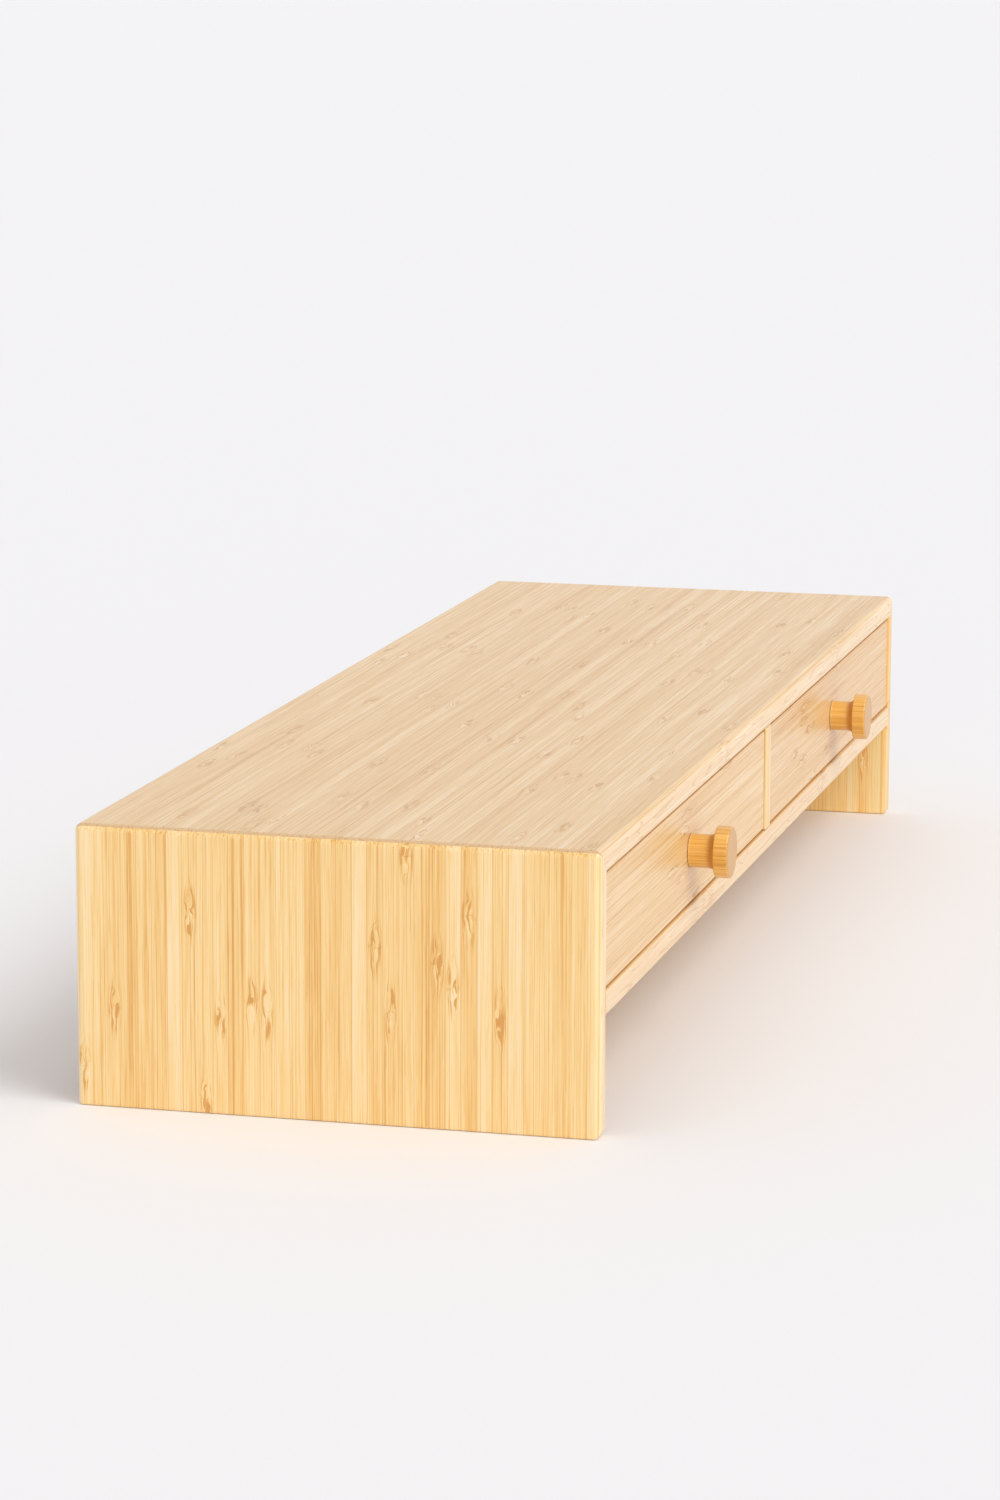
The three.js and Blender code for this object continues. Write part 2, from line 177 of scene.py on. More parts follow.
def build_floor():
    """One square face, a hair below the stand so that the two don't touch."""
    corners = np.array([(-1, -1), (1, -1), (1, 1), (-1, 1)]) * FLOOR_HALF
    points = np.column_stack([corners, np.full(len(corners), -FLOOR_DROP)])
    mesh = bpy.data.meshes.new("floor")
    mesh.from_pydata(points.tolist(), [], [(0, 1, 2, 3)])
    material, tree, output = new_material("painted_table_top_matt")
    surface = add(
        tree,
        "ShaderNodeBsdfPrincipled",
        {
            "Base Color": linear(FLOOR_COLOUR),
            "Roughness": FLOOR_ROUGHNESS,
            "Specular IOR Level": FLOOR_SHEEN,
        },
    )
    tree.links.new(surface.outputs[0], output.inputs["Surface"])
    mesh.materials.append(material)
    floor = bpy.data.objects.new("floor", mesh)
    bpy.context.scene.collection.objects.link(floor)


def build_sky():
    """Rays that see the sky itself find it nearly white, and the light that it gives is lower."""
    world = bpy.data.worlds.new("soft_sky")
    world.use_nodes = True
    tree = world.node_tree
    tree.nodes.clear()
    path = add(tree, "ShaderNodeLightPath")
    seen = add(
        tree,
        MATH,
        {0: path.outputs["Is Camera Ray"], 1: path.outputs["Is Glossy Ray"]},
        operation="MAXIMUM",
    )
    seen = add(
        tree, MATH, {0: seen, 1: path.outputs["Is Transmission Ray"]}, operation="MAXIMUM"
    )
    strength = add(tree, RANGE, {"Value": seen, "To Min": SKY_LIGHT, "To Max": SKY_SEEN})
    background = add(
        tree, "ShaderNodeBackground", {"Color": linear(SKY_COLOUR), "Strength": strength}
    )
    output = add(tree, "ShaderNodeOutputWorld")
    tree.links.new(background.outputs[0], output.inputs["Surface"])
    bpy.context.scene.world = world


def build_lamp(name, place, disc, strength):
    """A sun that shines from its place towards the stand."""
    data = bpy.data.lights.new(name, "SUN")
    data.angle = math.radians(disc)
    data.energy = strength
    lamp = bpy.data.objects.new(name, data)
    lamp.location = place
    lamp.rotation_euler = place.to_track_quat("Z", "Y").to_euler()
    bpy.context.scene.collection.objects.link(lamp)


build_floor()
build_sky()
for lamp_settings in LAMPS:
    build_lamp(*lamp_settings)
bpy.context.scene.view_settings.view_transform = "Standard"
print("stage: floor, sky and", len(LAMPS), "lamps")

# %% [markdown]
# ## The bamboo pattern
# Side-pressed bamboo shows the narrow edges of its strips. Each strip has its own tone, long fine
# fibres, a thin glue line beside it, and here and there a knuckle, where the fibres swerve round the
# old joint of the cane. In the photograph the glue lines of the near panel are 5.9 mm apart, and its
# 33 strips of 107 mm show 14 knuckles, so a knuckle comes about every 25 cm along a strip.
#
# The pattern is worked out in millimetres along three directions: across the strips, along the grain
# and through the board. So it runs through the board like real wood, and the edges show the broad
# side of a strip. One node group makes it for all boards. The widths and lengths of the fibres,
# dashes, bands, lines, strokes and figure were chosen.

# %% Sizes of the pattern, in millimetres
STRIP_WIDTH = 5.9
KNUCKLE_PITCH = 252.0
# Each layer's width and length, and how many finer noises are added to its own
FIBRE = (0.45, 55.0, 3.0)
DASH = (0.4, 14.0, 0.0)
BAND = (2.1, 150.0, 1.5)
LINE = (0.7, 240.0, 0.0)
STROKE = (0.45, 13.0, 1.0)
SWIRL = (2.2, 7.0, 1.0)
FIGURE = (6.0, 120.0, 1.0)
# How far the fibres sway to both sides at a knuckle, and how far they part round it
SWIRL_SHIFT = 0.5
PARTING = 3.2
# A knuckle's reach along the grain, and how far its pale core lies off its centre
KNUCKLE_REACH = 15.0
CORE_OFFSET = 2.5
# The rib's half width, and how far it sways from one side to the other
RIB_REACH = 0.5
RIB_WOBBLE = 4.0
# How wide a glue line fades on each side, and how large a cell with one fibre bundle is
GLUE_WIDTH = 0.2
BUNDLE_SIZE = 0.75
# The noises move along by this much from one strip to the next, so that bands end at a glue line
STRIP_JUMP = 37.7

# %% Shares of the pattern
# A knuckle's half width, as a share of its strip
KNUCKLE_SPREAD = 0.6
# Shares of a knuckle's reach where it and its pale core have faded out, and where they are full
KNUCKLE_FADE = (1.0, 0.35)
CORE_FADE = (0.42, 0.05)
# The values of a noise texture that become 0 and 1
NOISE_LOW, NOISE_HIGH = 0.28, 0.72
# Values of their noise where these layers begin, and where they are full
DASH_FADE = (0.35, 0.1)
LINE_FADE = (0.3, 0.1)
STROKE_FADE = (0.52, 0.25)
# The same for the distance from a contour line, and from a bundle's middle
FIGURE_FADE = (0.1, 0.0)
DOT_FADE = (0.42, 0.15)
FIGURE_LEVELS = 3
# How much each layer adds to the tone, where 0 is the darkest and 1 the lightest colour
TONE_BASE = 0.12
STRIP_SHARE, BAND_SHARE, FIBRE_SHARE, LINE_SHARE, DASH_SHARE = 0.32, 0.3, 0.46, -0.3, -0.14
CORE_SHARE, STROKE_SHARE, RIB_SHARE, DARKER_SHARE = 0.22, -0.8, -0.3, -0.14


# %% Helpers of the pattern
def stretched_noise(tree, place, width, length, detail):
    """Noise spread over 0 to 1 and drawn out along the grain. Place is across, along, through."""
    shares = [
        add(tree, MATH, {0: value, 1: size}, operation="DIVIDE")
        for value, size in zip(place, (width, length, width))
    ]
    vector = add(tree, "ShaderNodeCombineXYZ", dict(enumerate(shares)))
    noise = add(tree, "ShaderNodeTexNoise", {"Vector": vector, "Scale": 1.0, "Detail": detail})
    return add(tree, RANGE, {"Value": noise, "From Min": NOISE_LOW, "From Max": NOISE_HIGH})


def fade(tree, value, empty, full):
    """A smooth step from 0 where the value is at its empty mark to 1 where it is at its full mark."""
    return add(
        tree,
        RANGE,
        {"Value": value, "From Min": empty, "From Max": full},
        interpolation_type="SMOOTHSTEP",
    )


def nearest_knuckle(tree, along, knuckle_share):
    """Distance along the grain to the nearest knuckle. A strip has one in each pitch."""
    turns = add(tree, MATH, {0: along, 1: KNUCKLE_PITCH}, operation="DIVIDE")
    turns = add(tree, MATH, {0: turns, 1: knuckle_share}, operation="SUBTRACT")
    turns = add(tree, MATH, {0: turns, 1: 0.5, 2: -0.5}, operation="WRAP")
    return add(tree, MATH, {0: turns, 1: KNUCKLE_PITCH}, operation="MULTIPLY")


def knuckle_and_core(tree, gap, centred):
    """A soft ellipse round the knuckle's place, and a smaller one for its pale core, off centre."""
    crosswise = add(tree, MATH, {0: centred, 1: KNUCKLE_SPREAD}, operation="DIVIDE")
    ellipses = []
    for offset, limits in ((0.0, KNUCKLE_FADE), (CORE_OFFSET, CORE_FADE)):
        lengthwise = add(tree, MATH, {0: gap, 1: offset}, operation="ADD")
        lengthwise = add(tree, MATH, {0: lengthwise, 1: KNUCKLE_REACH}, operation="DIVIDE")
        away = add(tree, "ShaderNodeCombineXYZ", {0: lengthwise, 1: crosswise})
        distance = add(tree, "ShaderNodeVectorMath", {0: away}, operation="LENGTH")
        ellipses.append(fade(tree, distance.outputs["Value"], *limits))
    return ellipses


def wavy_rib(tree, gap, sway, knuckle):
    """A thin line over the knuckle, where the distance along, with some sway added, is about 0."""
    wavy = add(tree, MATH, {0: sway, 1: RIB_WOBBLE, 2: gap}, operation="MULTIPLY_ADD")
    wavy = add(tree, MATH, {0: wavy}, operation="ABSOLUTE")
    return add(tree, MATH, {0: fade(tree, wavy, RIB_REACH, 0.0), 1: knuckle}, operation="MULTIPLY")


def glue_line(tree, centred, glue_chance):
    """The outermost bit of each strip, stronger between some strips than others."""
    rest = add(tree, MATH, {0: centred}, operation="ABSOLUTE")
    glue = fade(tree, rest, 0.5 - GLUE_WIDTH / STRIP_WIDTH, 0.5)
    return add(tree, MATH, {0: glue, 1: glue_chance}, operation="MULTIPLY")


def figure_loops(tree, place):
    """Contour lines of a slow noise, which close into long loops."""
    slow = stretched_noise(tree, place, *FIGURE)
    levels = add(tree, MATH, {0: slow, 1: FIGURE_LEVELS, 2: 0.5}, operation="MULTIPLY_ADD")
    levels = add(tree, MATH, {0: levels, 1: 0.5}, operation="PINGPONG")
    return fade(tree, levels, *FIGURE_FADE)


def bundle_dots(tree, across, through):
    """End grain: the fibre bundles, cut across, are dots."""
    place = add(tree, "ShaderNodeCombineXYZ", {0: across, 1: through})
    scale = 1 / BUNDLE_SIZE
    return fade(tree, add(tree, "ShaderNodeTexVoronoi", {"Vector": place, "Scale": scale}), *DOT_FADE)


# %% Pattern group
SOCKETS = {
    "INPUT": ("Seed", "Knuckle Place", "Placed", "Darker"),
    "OUTPUT": ("Tone", "Glue", "Fibre", "Figure", "Dots"),
}


def build_pattern():
    """Tone, glue line, fibre, figure and end-grain dots, each from 0 to 1."""
    tree = bpy.data.node_groups.new("side_pressed_bamboo", "ShaderNodeTree")
    tree.interface.new_socket("Place", in_out="INPUT", socket_type="NodeSocketVector")
    for side, names in SOCKETS.items():
        for name in names:
            tree.interface.new_socket(name, in_out=side, socket_type="NodeSocketFloat")
    given = add(tree, "NodeGroupInput").outputs
    across, along, through = add(tree, "ShaderNodeSeparateXYZ", {0: given["Place"]}).outputs

    # Strip number, and the place inside the strip from -0.5 to 0.5
    strips = add(tree, MATH, {0: across, 1: STRIP_WIDTH}, operation="DIVIDE")
    number = add(tree, MATH, {0: strips}, operation="FLOOR")
    inside = add(tree, MATH, {0: strips}, operation="FRACT")
    centred = add(tree, MATH, {0: inside, 1: 0.5}, operation="SUBTRACT")
    key = add(tree, MATH, {0: number, 1: given["Seed"]}, operation="ADD")
    chance = add(tree, "ShaderNodeTexWhiteNoise", {"W": key}, noise_dimensions="1D")
    tone_chance, knuckle_chance, glue_chance = add(
        tree, "ShaderNodeSeparateColor", {0: chance.outputs["Color"]}
    ).outputs

    # A strip's knuckle is placed by chance or as measured
    knuckle_share = add(
        tree,
        MIX,
        {"Factor": given["Placed"], "A": knuckle_chance, "B": given["Knuckle Place"]},
        data_type="FLOAT",
    )
    gap = nearest_knuckle(tree, along, knuckle_share)
    knuckle, core = knuckle_and_core(tree, gap, centred)

    # Near the knuckle the fibres part round its core and sway, and some are short dark strokes
    moved = add(tree, MATH, {0: key, 1: STRIP_JUMP, 2: along}, operation="MULTIPLY_ADD")
    sway = stretched_noise(tree, (across, moved, through), *SWIRL)
    sway = add(tree, MATH, {0: sway, 1: 0.5}, operation="SUBTRACT")
    push = add(tree, MATH, {0: sway, 1: 2 * SWIRL_SHIFT}, operation="MULTIPLY")
    push = add(tree, MATH, {0: centred, 1: -PARTING, 2: push}, operation="MULTIPLY_ADD")
    bent = add(tree, MATH, {0: push, 1: knuckle, 2: across}, operation="MULTIPLY_ADD")
    grain_place = (bent, moved, through)
    strokes = fade(tree, stretched_noise(tree, grain_place, *STROKE), *STROKE_FADE)
    strokes = add(tree, MATH, {0: strokes, 1: knuckle}, operation="MULTIPLY")
    fibre = stretched_noise(tree, grain_place, *FIBRE)
    band = stretched_noise(tree, grain_place, *BAND)
    lines = fade(tree, stretched_noise(tree, grain_place, *LINE), *LINE_FADE)
    dashes = fade(tree, stretched_noise(tree, grain_place, *DASH), *DASH_FADE)
    rib = wavy_rib(tree, gap, sway, knuckle)

    tone = TONE_BASE
    for layer, share in (
        (tone_chance, STRIP_SHARE),
        (band, BAND_SHARE),
        (fibre, FIBRE_SHARE),
        (lines, LINE_SHARE),
        (dashes, DASH_SHARE),
        (core, CORE_SHARE),
        (strokes, STROKE_SHARE),
        (rib, RIB_SHARE),
        (given["Darker"], DARKER_SHARE),
    ):
        tone = add(tree, MATH, {0: layer, 1: share, 2: tone}, operation="MULTIPLY_ADD")
    tone.use_clamp = True
    results = {
        "Tone": tone,
        "Glue": glue_line(tree, centred, glue_chance),
        "Fibre": fibre,
        "Figure": figure_loops(tree, (across, along, through)),
        "Dots": bundle_dots(tree, across, through),
    }
    add(tree, "NodeGroupOutput", results)
    return tree


pattern = build_pattern()
print("pattern group with", len(pattern.nodes), "nodes")

# %% [markdown]
# ## Bamboo finishes
# A board's material picks which way its grain and its strips run, and maps the pattern's tone to
# colours. Where the surface cuts across the grain, at the ends and on the arris beside a mitre, it
# shows end grain, which is darker and greyer. The satin lacquer is a clear coat over the wood. It
# gives wide, soft reflections, so a board pales when it is seen at a low angle. The boards inside a
# drawer are assumed to be only sanded, so they look matt.

# %% Colours and finishes of the wood
# Tones from dark to light. End grain has the colour of its ground and of its dots.
PANEL_TONES = ("d99c4c", "edbc6e", "f6d291", "fae0b4")
# The far panel's tones are brighter than the near one's: painted light for its inside in the shade
FAR_PANEL_PAINTED_LIGHT_TONES = ("f0ae58", "fccb7a", "ffde99", "ffeaba")
TOP_TONES = ("d4a058", "e4b573", "eec589", "f9d9aa")
SHELF_TONES = ("d39e5b", "eabc7b", "f2cb92", "f9dcaf")
LEFT_FRONT_TONES = ("cf9a57", "e6b877", "eec78e", "f5d8ab")
RIGHT_FRONT_TONES = ("cb9450", "e2b170", "eac087", "f1d1a4")
INNER_TONES = ("d2a061", "e4b97c", "eec992", "f5d7a8")
END_COLOURS = ("dab383", "c0965f")
# The normal's share along the grain where end grain begins to show, and where only it shows. In the
# photograph the arris at the ends shows it on the top board's part and hardly on the end panel's.
END_GRAIN_FADE = (0.2, 0.75)
TOP_END_FADE = (0.05, 0.4)
PANEL_END_FADE = (0.75, 1.0)
# The same for the broad side of the strips, and how a colour is laid over it: blend, colour, share.
# It is pale on the long edges, partly because the broad side of a strip is paler and partly as a
# painted sheen, and hardly so on the divider. The far panel's tones are brightened as painted light,
# because its inside lies in the shade, so its front edge gets a darker colour.
BROAD_SIDE_FADE = (0.75, 0.98)
# The paler broad side of a strip, with a painted sheen of low angles added to it
BROAD_SIDE_AND_SHEEN = ("SCREEN", "aa8674", 1.0)
FAINT_BROAD_SIDE_AND_SHEEN = ("SCREEN", "aa8674", 0.2)
# The far panel's front edge gets a darker colour, since its tones carry painted light
FAR_BROAD_SIDE = ("MIX", "eabf84", 0.6)
FIGURE_STRENGTH = 0.45
# How much lacquer there is, and how rough it and the wood under it are
LACQUER = 0.35
COAT_ROUGHNESS = 0.22
SATIN_ROUGHNESS = 0.42
FIBRE_SHEEN = 0.05
WOOD_IOR = 1.5
SANDED = {"coat": 0.0, "roughness": 0.55}
FIBRE_RELIEF = 0.03 * MM
RELIEF_STRENGTH = 0.35

# %% [markdown]
# ## Knuckles where they were measured
# The near panel is sharp in the photograph. The photograph was flattened with the fitted camera, and
# the strip and the height of each knuckle were read there. So were seven knuckles on the top. A table
# in the material keeps them. The rest on the top, and those of the other boards, are left to chance.

# %% Strips and measured knuckles, in millimetres
AXES = {"x": 0, "y": 1, "z": 2}
CASE_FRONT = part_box("shelf")[0].y / MM
LEFT_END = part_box("left_side_panel")[0].x / MM
# Strip 0 of the near panel begins at the first glue line, this far behind the front edge. Elsewhere
# half a strip lies in front of the case, so that its edges show the inside of a strip.
GLUE_LINE_BEHIND_FRONT = 4.9
FIRST_GLUE_LINE = CASE_FRONT + GLUE_LINE_BEHIND_FRONT
HALF_STRIP_BEFORE = CASE_FRONT - STRIP_WIDTH / 2
# Heights on the near panel, by strip. Two of its strips are darker. Its other strips show none, so
# theirs is put at a height above the panel.
ABOVE_THE_PANEL = 180.0
NEAR_PANEL = {
    "knuckles": {
        5: 43, 7: 79, 8: 53.5, 9: 61.5, 11: 102, 12: 42.5, 13: 67,
        20: 40, 21: 43, 23: 35, 24: 5, 25: 76, 30: 38, 32: 17,
    },
    "darker": (2, 17),
    "others": ABOVE_THE_PANEL,
}
# Distances from the left end on the top, by strip
TOP_KNUCKLES = {4: 40, 12: 12, 13: 38, 18: 60, 22: 27, 23: 15, 28: 28}
TOP = {"knuckles": {strip: LEFT_END + place for strip, place in TOP_KNUCKLES.items()}}
# The divider and the knobs show no knuckle. This place and those a pitch away lie clear of them.
CLEAR_WOOD = {"knuckles": {}, "others": ABOVE_THE_PANEL}
TABLE_STRIPS = 40


def strip_table(tree, across, knuckles, darker=(), others=None):
    """A ramp with constant steps as a table of strips: knuckle place, darker or not, placed or not.

    A place is kept as a share of the pitch, because the knuckles of a strip come once a pitch.
    """
    number = add(tree, MATH, {0: across, 1: STRIP_WIDTH}, operation="DIVIDE")
    number = add(tree, MATH, {0: number}, operation="FLOOR")
    middle = add(
        tree,
        MATH,
        {0: number, 1: 1 / TABLE_STRIPS, 2: 0.5 / TABLE_STRIPS},
        operation="MULTIPLY_ADD",
    )
    ramp = add(tree, "ShaderNodeValToRGB", {0: middle})
    ramp.color_ramp.interpolation = "CONSTANT"
    elements = ramp.color_ramp.elements
    elements.remove(elements[1])
    last = None
    for strip in range(TABLE_STRIPS):
        place = knuckles.get(strip, others)
        share = 0.0 if place is None else place / KNUCKLE_PITCH % 1
        entry = (share, float(strip in darker), float(place is not None), 1.0)
        if entry != last:
            element = elements[0] if last is None else elements.new(strip / TABLE_STRIPS)
            element.position = strip / TABLE_STRIPS
            element.color = entry
        last = entry
    return add(tree, "ShaderNodeSeparateColor", {0: ramp}).outputs


def strip_place(tree, place, grain, strips, start):
    """The place in millimetres across the strips, along the grain and through the board."""
    place = add(tree, "ShaderNodeVectorMath", {0: place}, operation="SCALE")
    place.inputs["Scale"].default_value = 1 / MM
    axes = add(tree, "ShaderNodeSeparateXYZ", {0: place}).outputs
    through = ({0, 1, 2} - {AXES[grain], AXES[strips]}).pop()
    across = add(tree, MATH, {0: axes[AXES[strips]], 1: start}, operation="SUBTRACT")
    return across, axes[AXES[grain]], axes[through]


print("measured knuckles:", len(NEAR_PANEL["knuckles"]) + len(TOP_KNUCKLES))

# %% [markdown]
# ## A board's material
# The colour is built up in three steps: the tones with their glue lines, the broad side laid over
# them, and the end grain over both. The surface's normal tells which of them shows. The fibres also
# make a faint relief, and change the sheen a little.

# %% Bamboo material
def tone_colours(tree, wood, tones):
    """The tones spread evenly over the pattern's 0 to 1, and the darkest one in the glue lines."""
    ramp = add(tree, "ShaderNodeValToRGB", {0: wood.outputs["Tone"]})
    elements = ramp.color_ramp.elements
    for index, code in enumerate(tones):
        position = index / (len(tones) - 1)
        element = elements[index] if index < 2 else elements.new(position)
        element.position = position
        element.color = linear(code)
    glued = {"Factor": wood.outputs["Glue"], "A": ramp, "B": linear(tones[0])}
    return add(tree, MIX, glued, data_type="RGBA")


def with_broad_side(tree, wood, colour, facing, broad_side, line_colour):
    """Lays a colour over the broad side of the strips, and the looped lines over that."""
    blend, code, share = broad_side
    broad = fade(tree, facing, *BROAD_SIDE_FADE)
    broad = add(tree, MATH, {0: broad, 1: share}, operation="MULTIPLY")
    laid_over = {"Factor": broad, "A": colour, "B": linear(code)}
    colour = add(tree, MIX, laid_over, data_type="RGBA", blend_type=blend)
    figure = add(tree, MATH, {0: broad, 1: wood.outputs["Figure"]}, operation="MULTIPLY")
    figure = add(tree, MATH, {0: figure, 1: FIGURE_STRENGTH}, operation="MULTIPLY")
    looped = {"Factor": figure, "A": colour, "B": linear(line_colour)}
    return add(tree, MIX, looped, data_type="RGBA")


def with_end_grain(tree, wood, colour, facing, ends, end_fade):
    """Lays the dots of the end grain over the colour where the surface cuts across the fibres."""
    dotted = {"Factor": wood.outputs["Dots"], "A": linear(ends[0]), "B": linear(ends[1])}
    dotted = add(tree, MIX, dotted, data_type="RGBA")
    cut = {"Factor": fade(tree, facing, *end_fade), "A": colour, "B": dotted}
    return add(tree, MIX, cut, data_type="RGBA")


def lacquered(tree, wood, colour, coat, roughness):
    """The fibres stand up a little, and the glue lines lie lower. Pale fibres shine a bit more."""
    glue, fibre = wood.outputs["Glue"], wood.outputs["Fibre"]
    height = add(tree, MATH, {0: glue, 1: -1.0, 2: fibre}, operation="MULTIPLY_ADD")
    relief = {"Height": height, "Strength": RELIEF_STRENGTH, "Distance": FIBRE_RELIEF}
    dull, shiny = roughness + FIBRE_SHEEN, roughness - FIBRE_SHEEN
    return add(
        tree,
        "ShaderNodeBsdfPrincipled",
        {
            "Base Color": colour,
            "Roughness": add(tree, RANGE, {"Value": fibre, "To Min": dull, "To Max": shiny}),
            "Normal": add(tree, "ShaderNodeBump", relief),
            "IOR": WOOD_IOR,
            "Coat Weight": coat,
            "Coat Roughness": COAT_ROUGHNESS,
        },
    )


def bamboo(
    name,
    grain,
    strips,
    seed,
    tones,
    ends=END_COLOURS,
    coat=LACQUER,
    roughness=SATIN_ROUGHNESS,
    start=0.0,
    end_fade=END_GRAIN_FADE,
    broad_side=BROAD_SIDE_AND_SHEEN,
    measured=None,
):
    """Bamboo with its grain along one axis, and its strips side by side along another."""
    material, tree, output = new_material(name)
    coords = add(tree, "ShaderNodeTexCoord").outputs
    place = strip_place(tree, coords["Object"], grain, strips, start)
    wood = add(tree, "ShaderNodeGroup", node_tree=pattern)
    joined = add(tree, "ShaderNodeCombineXYZ", dict(enumerate(place)))
    tree.links.new(joined.outputs[0], wood.inputs["Place"])
    wood.inputs["Seed"].default_value = seed
    if measured:
        table = strip_table(tree, place[0], **measured)
        for output_socket, input_name in zip(table, ("Knuckle Place", "Darker", "Placed")):
            tree.links.new(output_socket, wood.inputs[input_name])

    normal = add(tree, "ShaderNodeSeparateXYZ", {0: coords["Normal"]}).outputs
    along_grain = add(tree, MATH, {0: normal[AXES[grain]]}, operation="ABSOLUTE")
    across_strips = add(tree, MATH, {0: normal[AXES[strips]]}, operation="ABSOLUTE")
    colour = tone_colours(tree, wood, tones)
    colour = with_broad_side(tree, wood, colour, across_strips, broad_side, tones[0])
    colour = with_end_grain(tree, wood, colour, along_grain, ends, end_fade)
    surface = lacquered(tree, wood, colour, coat, roughness)
    tree.links.new(surface.outputs[0], output.inputs["Surface"])
    return material


# %% Make the bamboo finishes
# Each has its name, the axes of its grain and of its strips, a seed for its chances, and its tones
BEFORE = {"start": HALF_STRIP_BEFORE}
FINISHES = {
    "top": bamboo(
        "bamboo_top_satin", "x", "y", 3.0, TOP_TONES, end_fade=TOP_END_FADE, measured=TOP, **BEFORE
    ),
    "near_panel": bamboo(
        "bamboo_near_panel_satin",
        "z",
        "y",
        11.0,
        PANEL_TONES,
        start=FIRST_GLUE_LINE,
        end_fade=PANEL_END_FADE,
        measured=NEAR_PANEL,
    ),
    "far_panel": bamboo(
        "bamboo_far_panel_satin_painted_light",
        "z",
        "y",
        47.0,
        FAR_PANEL_PAINTED_LIGHT_TONES,
        end_fade=PANEL_END_FADE,
        broad_side=FAR_BROAD_SIDE,
        **BEFORE,
    ),
    "shelf": bamboo("bamboo_shelf_satin", "x", "y", 71.0, SHELF_TONES, **BEFORE),
    "divider": bamboo(
        "bamboo_divider_satin",
        "z",
        "y",
        5.0,
        PANEL_TONES,
        broad_side=FAINT_BROAD_SIDE_AND_SHEEN,
        measured=CLEAR_WOOD,
        **BEFORE,
    ),
    "left_front": bamboo("bamboo_left_front_satin", "x", "z", 23.0, LEFT_FRONT_TONES),
    "right_front": bamboo("bamboo_right_front_satin", "x", "z", 23.0, RIGHT_FRONT_TONES),
    "wall": bamboo("bamboo_drawer_side_sanded", "y", "z", 83.0, INNER_TONES, **SANDED),
    "cross": bamboo("bamboo_back_sanded", "x", "z", 59.0, INNER_TONES, **SANDED),
    "bottom": bamboo("bamboo_bottom_sanded", "x", "y", 31.0, INNER_TONES, **SANDED),
    "rod_along": bamboo("bamboo_rod_along", "x", "z", 19.0, INNER_TONES, **SANDED),
    "rod_upright": bamboo("bamboo_rod_upright", "z", "x", 29.0, INNER_TONES, **SANDED),
}
print("bamboo finishes:", len(FINISHES))

# %% [markdown]
# ## Zinc plated steel
# No screw is seen in the photograph. Zinc plated screws are assumed, as such knobs usually have. The
# plating is a cool, slightly uneven grey metal, so its roughness varies over a millimetre or two.

# %% Screw finish
ZINC_COLOUR = "c4c6c8"
ZINC_CLOUD = 1.5
ZINC_FINER_CLOUDS = 2.0
ZINC_SMOOTH, ZINC_ROUGH = 0.24, 0.42


def zinc():
    """Metal whose roughness follows a cloudy noise."""
    material, tree, output = new_material("steel_zinc_plated")
    place = add(tree, "ShaderNodeTexCoord").outputs["Object"]
    scale = 1 / (ZINC_CLOUD * MM)
    cloudy = {"Vector": place, "Scale": scale, "Detail": ZINC_FINER_CLOUDS}
    clouds = add(tree, "ShaderNodeTexNoise", cloudy)
    rough = add(tree, RANGE, {"Value": clouds, "To Min": ZINC_SMOOTH, "To Max": ZINC_ROUGH})
    surface = add(
        tree,
        "ShaderNodeBsdfPrincipled",
        {"Base Color": linear(ZINC_COLOUR), "Metallic": 1.0, "Roughness": rough},
    )
    tree.links.new(surface.outputs[0], output.inputs["Surface"])
    return material


FINISHES["zinc"] = zinc()
print("screw finish:", FINISHES["zinc"].name)

# %% [markdown]
# ## From a grid of points to a piece
# Each new piece is a surface worked out as one array: rows of points, where each row is a closed
# loop. Quads join the rows, and one face closes each end. A board that is flat with small rounds
# needs weighted normals, so that its flats are shaded flat and its rounds smooth.

# %% Grid helpers
# Edges that are sharper than this stay sharp, and the larger a face the more it sets the shading
SMOOTH_ANGLE = math.radians(35)
FACE_SIZE_WEIGHT = 100


def grid_mesh(name, grid):
    """A closed mesh from rows of closed loops, with its faces turned outwards."""
    rows, columns = grid.shape[:2]
    index = np.arange(rows * columns).reshape(rows, columns)
    ahead = np.roll(index, -1, axis=1)
    quads = np.stack([index[:-1], ahead[:-1], ahead[1:], index[1:]], axis=-1).reshape(-1, 4)
    mesh = bpy.data.meshes.new(name)
    mesh.from_pydata(
        (grid.reshape(-1, 3) * MM).tolist(),
        [],
        quads.tolist() + [index[0].tolist(), index[-1].tolist()],
    )
    work = bmesh.new()
    work.from_mesh(mesh)
    bmesh.ops.recalc_face_normals(work, faces=work.faces)
    work.to_mesh(mesh)
    work.free()
    return mesh


def finish_piece(name, mesh, node, body, finish):
    """Gives the mesh its finish and shading, and lets it stand for its CAD node."""
    mesh.shade_smooth()
    mesh.set_sharp_from_angle(angle=SMOOTH_ANGLE)
    mesh.materials.clear()
    mesh.materials.append(FINISHES[finish])
    piece = bpy.data.objects.new(name, mesh)
    bpy.context.scene.collection.objects.link(piece)
    weighted = piece.modifiers.new("flats_stay_flat", "WEIGHTED_NORMAL")
    weighted.keep_sharp = True
    weighted.weight = FACE_SIZE_WEIGHT
    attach(piece, body)
    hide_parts(node)


# %% [markdown]
# ## Boards of the case
# A board is a block whose points lie close together near its edges. Every point that is outside a
# rounded box is then pulled onto it, towards the box one radius further in. That turns the corners
# into true quarter rounds. The case is rounded as one: its 3 mm arris runs on from the top over the
# mitres and down the corners, and all other edges are only eased. In the photograph the lower corners
# are round seen from the end, and the long lower edge of the end is nearly sharp.

# %% Board shapes
ARRIS = 3.0
EASING = 0.8
EDGE_STEPS = 8
# The gap that is left at a glued joint
TIGHT_JOINT = 0.05
# A rounded box goes this far past an end that it shall not round
PAST_END = 40.0


